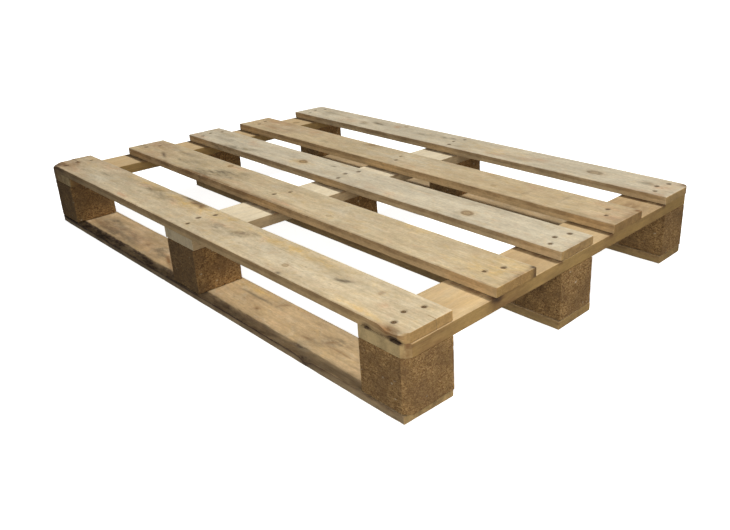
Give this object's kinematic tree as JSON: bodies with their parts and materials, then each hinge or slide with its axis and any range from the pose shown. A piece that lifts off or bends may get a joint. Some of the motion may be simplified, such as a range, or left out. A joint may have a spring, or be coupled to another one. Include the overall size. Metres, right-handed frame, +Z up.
{
  "type": "wooden block pallet",
  "caption": "Wooden four-way-entry pallet: spaced deck boards nailed over cross boards and pressed-wood blocks, with bottom boards and open fork pockets on every side.",
  "frame": {"origin": "on the floor, under the middle of the pallet's bounding box", "axes": "+X along the long deck boards, +Y across them from the front edge to the rear edge, +Z up"},
  "size_m": [1.2, 0.8, 0.144],
  "materials": {
    "weathered_deck_wood": "sawn and weathered, pale grey tan with stains",
    "warm_deck_wood": "sawn and weathered, warmer tan",
    "cross_board_wood": "sawn, fresh pale pine",
    "pressed_wood": "coarse pressed wood chips, matt brown",
    "bottom_board_wood": "sawn, dirty along its outer edges",
    "nail_steel": "dull, lightly rusted wire nail"
  },
  "bodies": {
    "root": {"deck_board_front": "weathered_deck_wood", "deck_board_centre": "weathered_deck_wood", "deck_board_rear": "weathered_deck_wood", "deck_board_front_inner": "warm_deck_wood", "deck_board_rear_inner": "warm_deck_wood", "cross_board_left": "cross_board_wood", "cross_board_middle": "cross_board_wood", "cross_board_right": "cross_board_wood", "block_front_left": "pressed_wood", "block_front_middle": "pressed_wood", "block_front_right": "pressed_wood", "block_centre_left": "pressed_wood", "block_centre_middle": "pressed_wood", "block_centre_right": "pressed_wood", "block_rear_left": "pressed_wood", "block_rear_middle": "pressed_wood", "block_rear_right": "pressed_wood", "bottom_board_front": "bottom_board_wood", "bottom_board_centre": "bottom_board_wood", "bottom_board_rear": "bottom_board_wood", "nail_front_left_1": "nail_steel", "nail_front_left_2": "nail_steel", "nail_front_left_3": "nail_steel", "nail_front_middle_1": "nail_steel", "nail_front_middle_2": "nail_steel", "nail_front_middle_3": "nail_steel", "nail_front_right_1": "nail_steel", "nail_front_right_2": "nail_steel", "nail_front_right_3": "nail_steel", "nail_centre_left_1": "nail_steel", "nail_centre_left_2": "nail_steel", "nail_centre_left_3": "nail_steel", "nail_centre_middle_1": "nail_steel", "nail_centre_middle_2": "nail_steel", "nail_centre_middle_3": "nail_steel", "nail_centre_right_1": "nail_steel", "nail_centre_right_2": "nail_steel", "nail_centre_right_3": "nail_steel", "nail_rear_left_1": "nail_steel", "nail_rear_left_2": "nail_steel", "nail_rear_left_3": "nail_steel", "nail_rear_middle_1": "nail_steel", "nail_rear_middle_2": "nail_steel", "nail_rear_middle_3": "nail_steel", "nail_rear_right_1": "nail_steel", "nail_rear_right_2": "nail_steel", "nail_rear_right_3": "nail_steel", "clinch_nail_front_inner_left_1": "nail_steel", "clinch_nail_front_inner_left_2": "nail_steel", "clinch_nail_front_inner_middle_1": "nail_steel", "clinch_nail_front_inner_middle_2": "nail_steel", "clinch_nail_front_inner_right_1": "nail_steel", "clinch_nail_front_inner_right_2": "nail_steel", "clinch_nail_rear_inner_left_1": "nail_steel", "clinch_nail_rear_inner_left_2": "nail_steel", "clinch_nail_rear_inner_middle_1": "nail_steel", "clinch_nail_rear_inner_middle_2": "nail_steel", "clinch_nail_rear_inner_right_1": "nail_steel", "clinch_nail_rear_inner_right_2": "nail_steel"}
  },
  "joints": []
}
